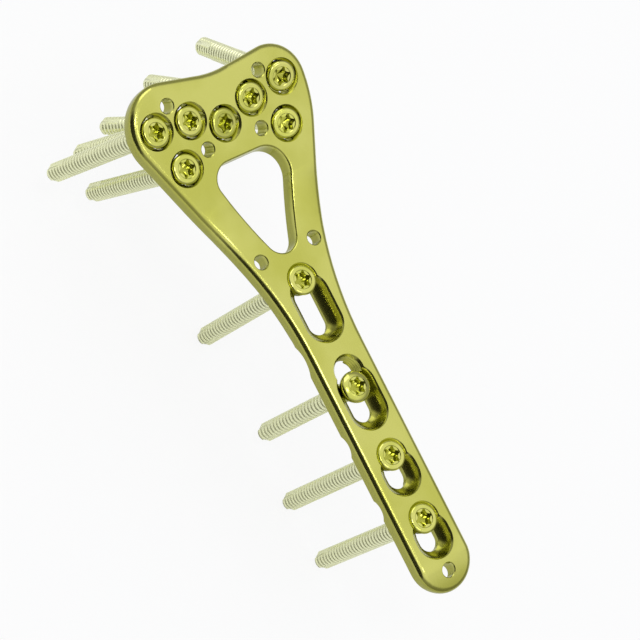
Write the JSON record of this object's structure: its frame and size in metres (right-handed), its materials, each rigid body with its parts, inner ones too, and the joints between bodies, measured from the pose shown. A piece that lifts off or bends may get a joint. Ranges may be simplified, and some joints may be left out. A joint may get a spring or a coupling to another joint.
{
  "type": "orthopedic bone plate",
  "caption": "Forked wrist plate, bent up at its wide head, with a row of combination holes in its shaft and its fan of locking screws fitted.",
  "frame": {"origin": "on the axis of the wire hole at the shaft's tip, in the plane of the underside that lies on the bone", "axes": "+Y along the shaft to the head, +Z away from the bone, +X to the right seen from above with the head up the page"},
  "size_m": [0.0265, 0.0738, 0.0327],
  "materials": {
    "anodised_plate": "green-gold anodised titanium, satin",
    "anodised_screw": "pale green-gold anodised titanium, machined"
  },
  "bodies": {
    "root": {"bone_plate": "anodised_plate", "head_screw_1": "anodised_screw", "head_screw_2": "anodised_screw", "head_screw_3": "anodised_screw", "head_screw_4": "anodised_screw", "head_screw_5": "anodised_screw", "head_screw_6": "anodised_screw", "head_screw_7": "anodised_screw", "shaft_locking_screw_1": "anodised_screw", "shaft_locking_screw_2": "anodised_screw", "shaft_locking_screw_3": "anodised_screw", "shaft_cortex_screw": "anodised_screw"}
  },
  "joints": []
}
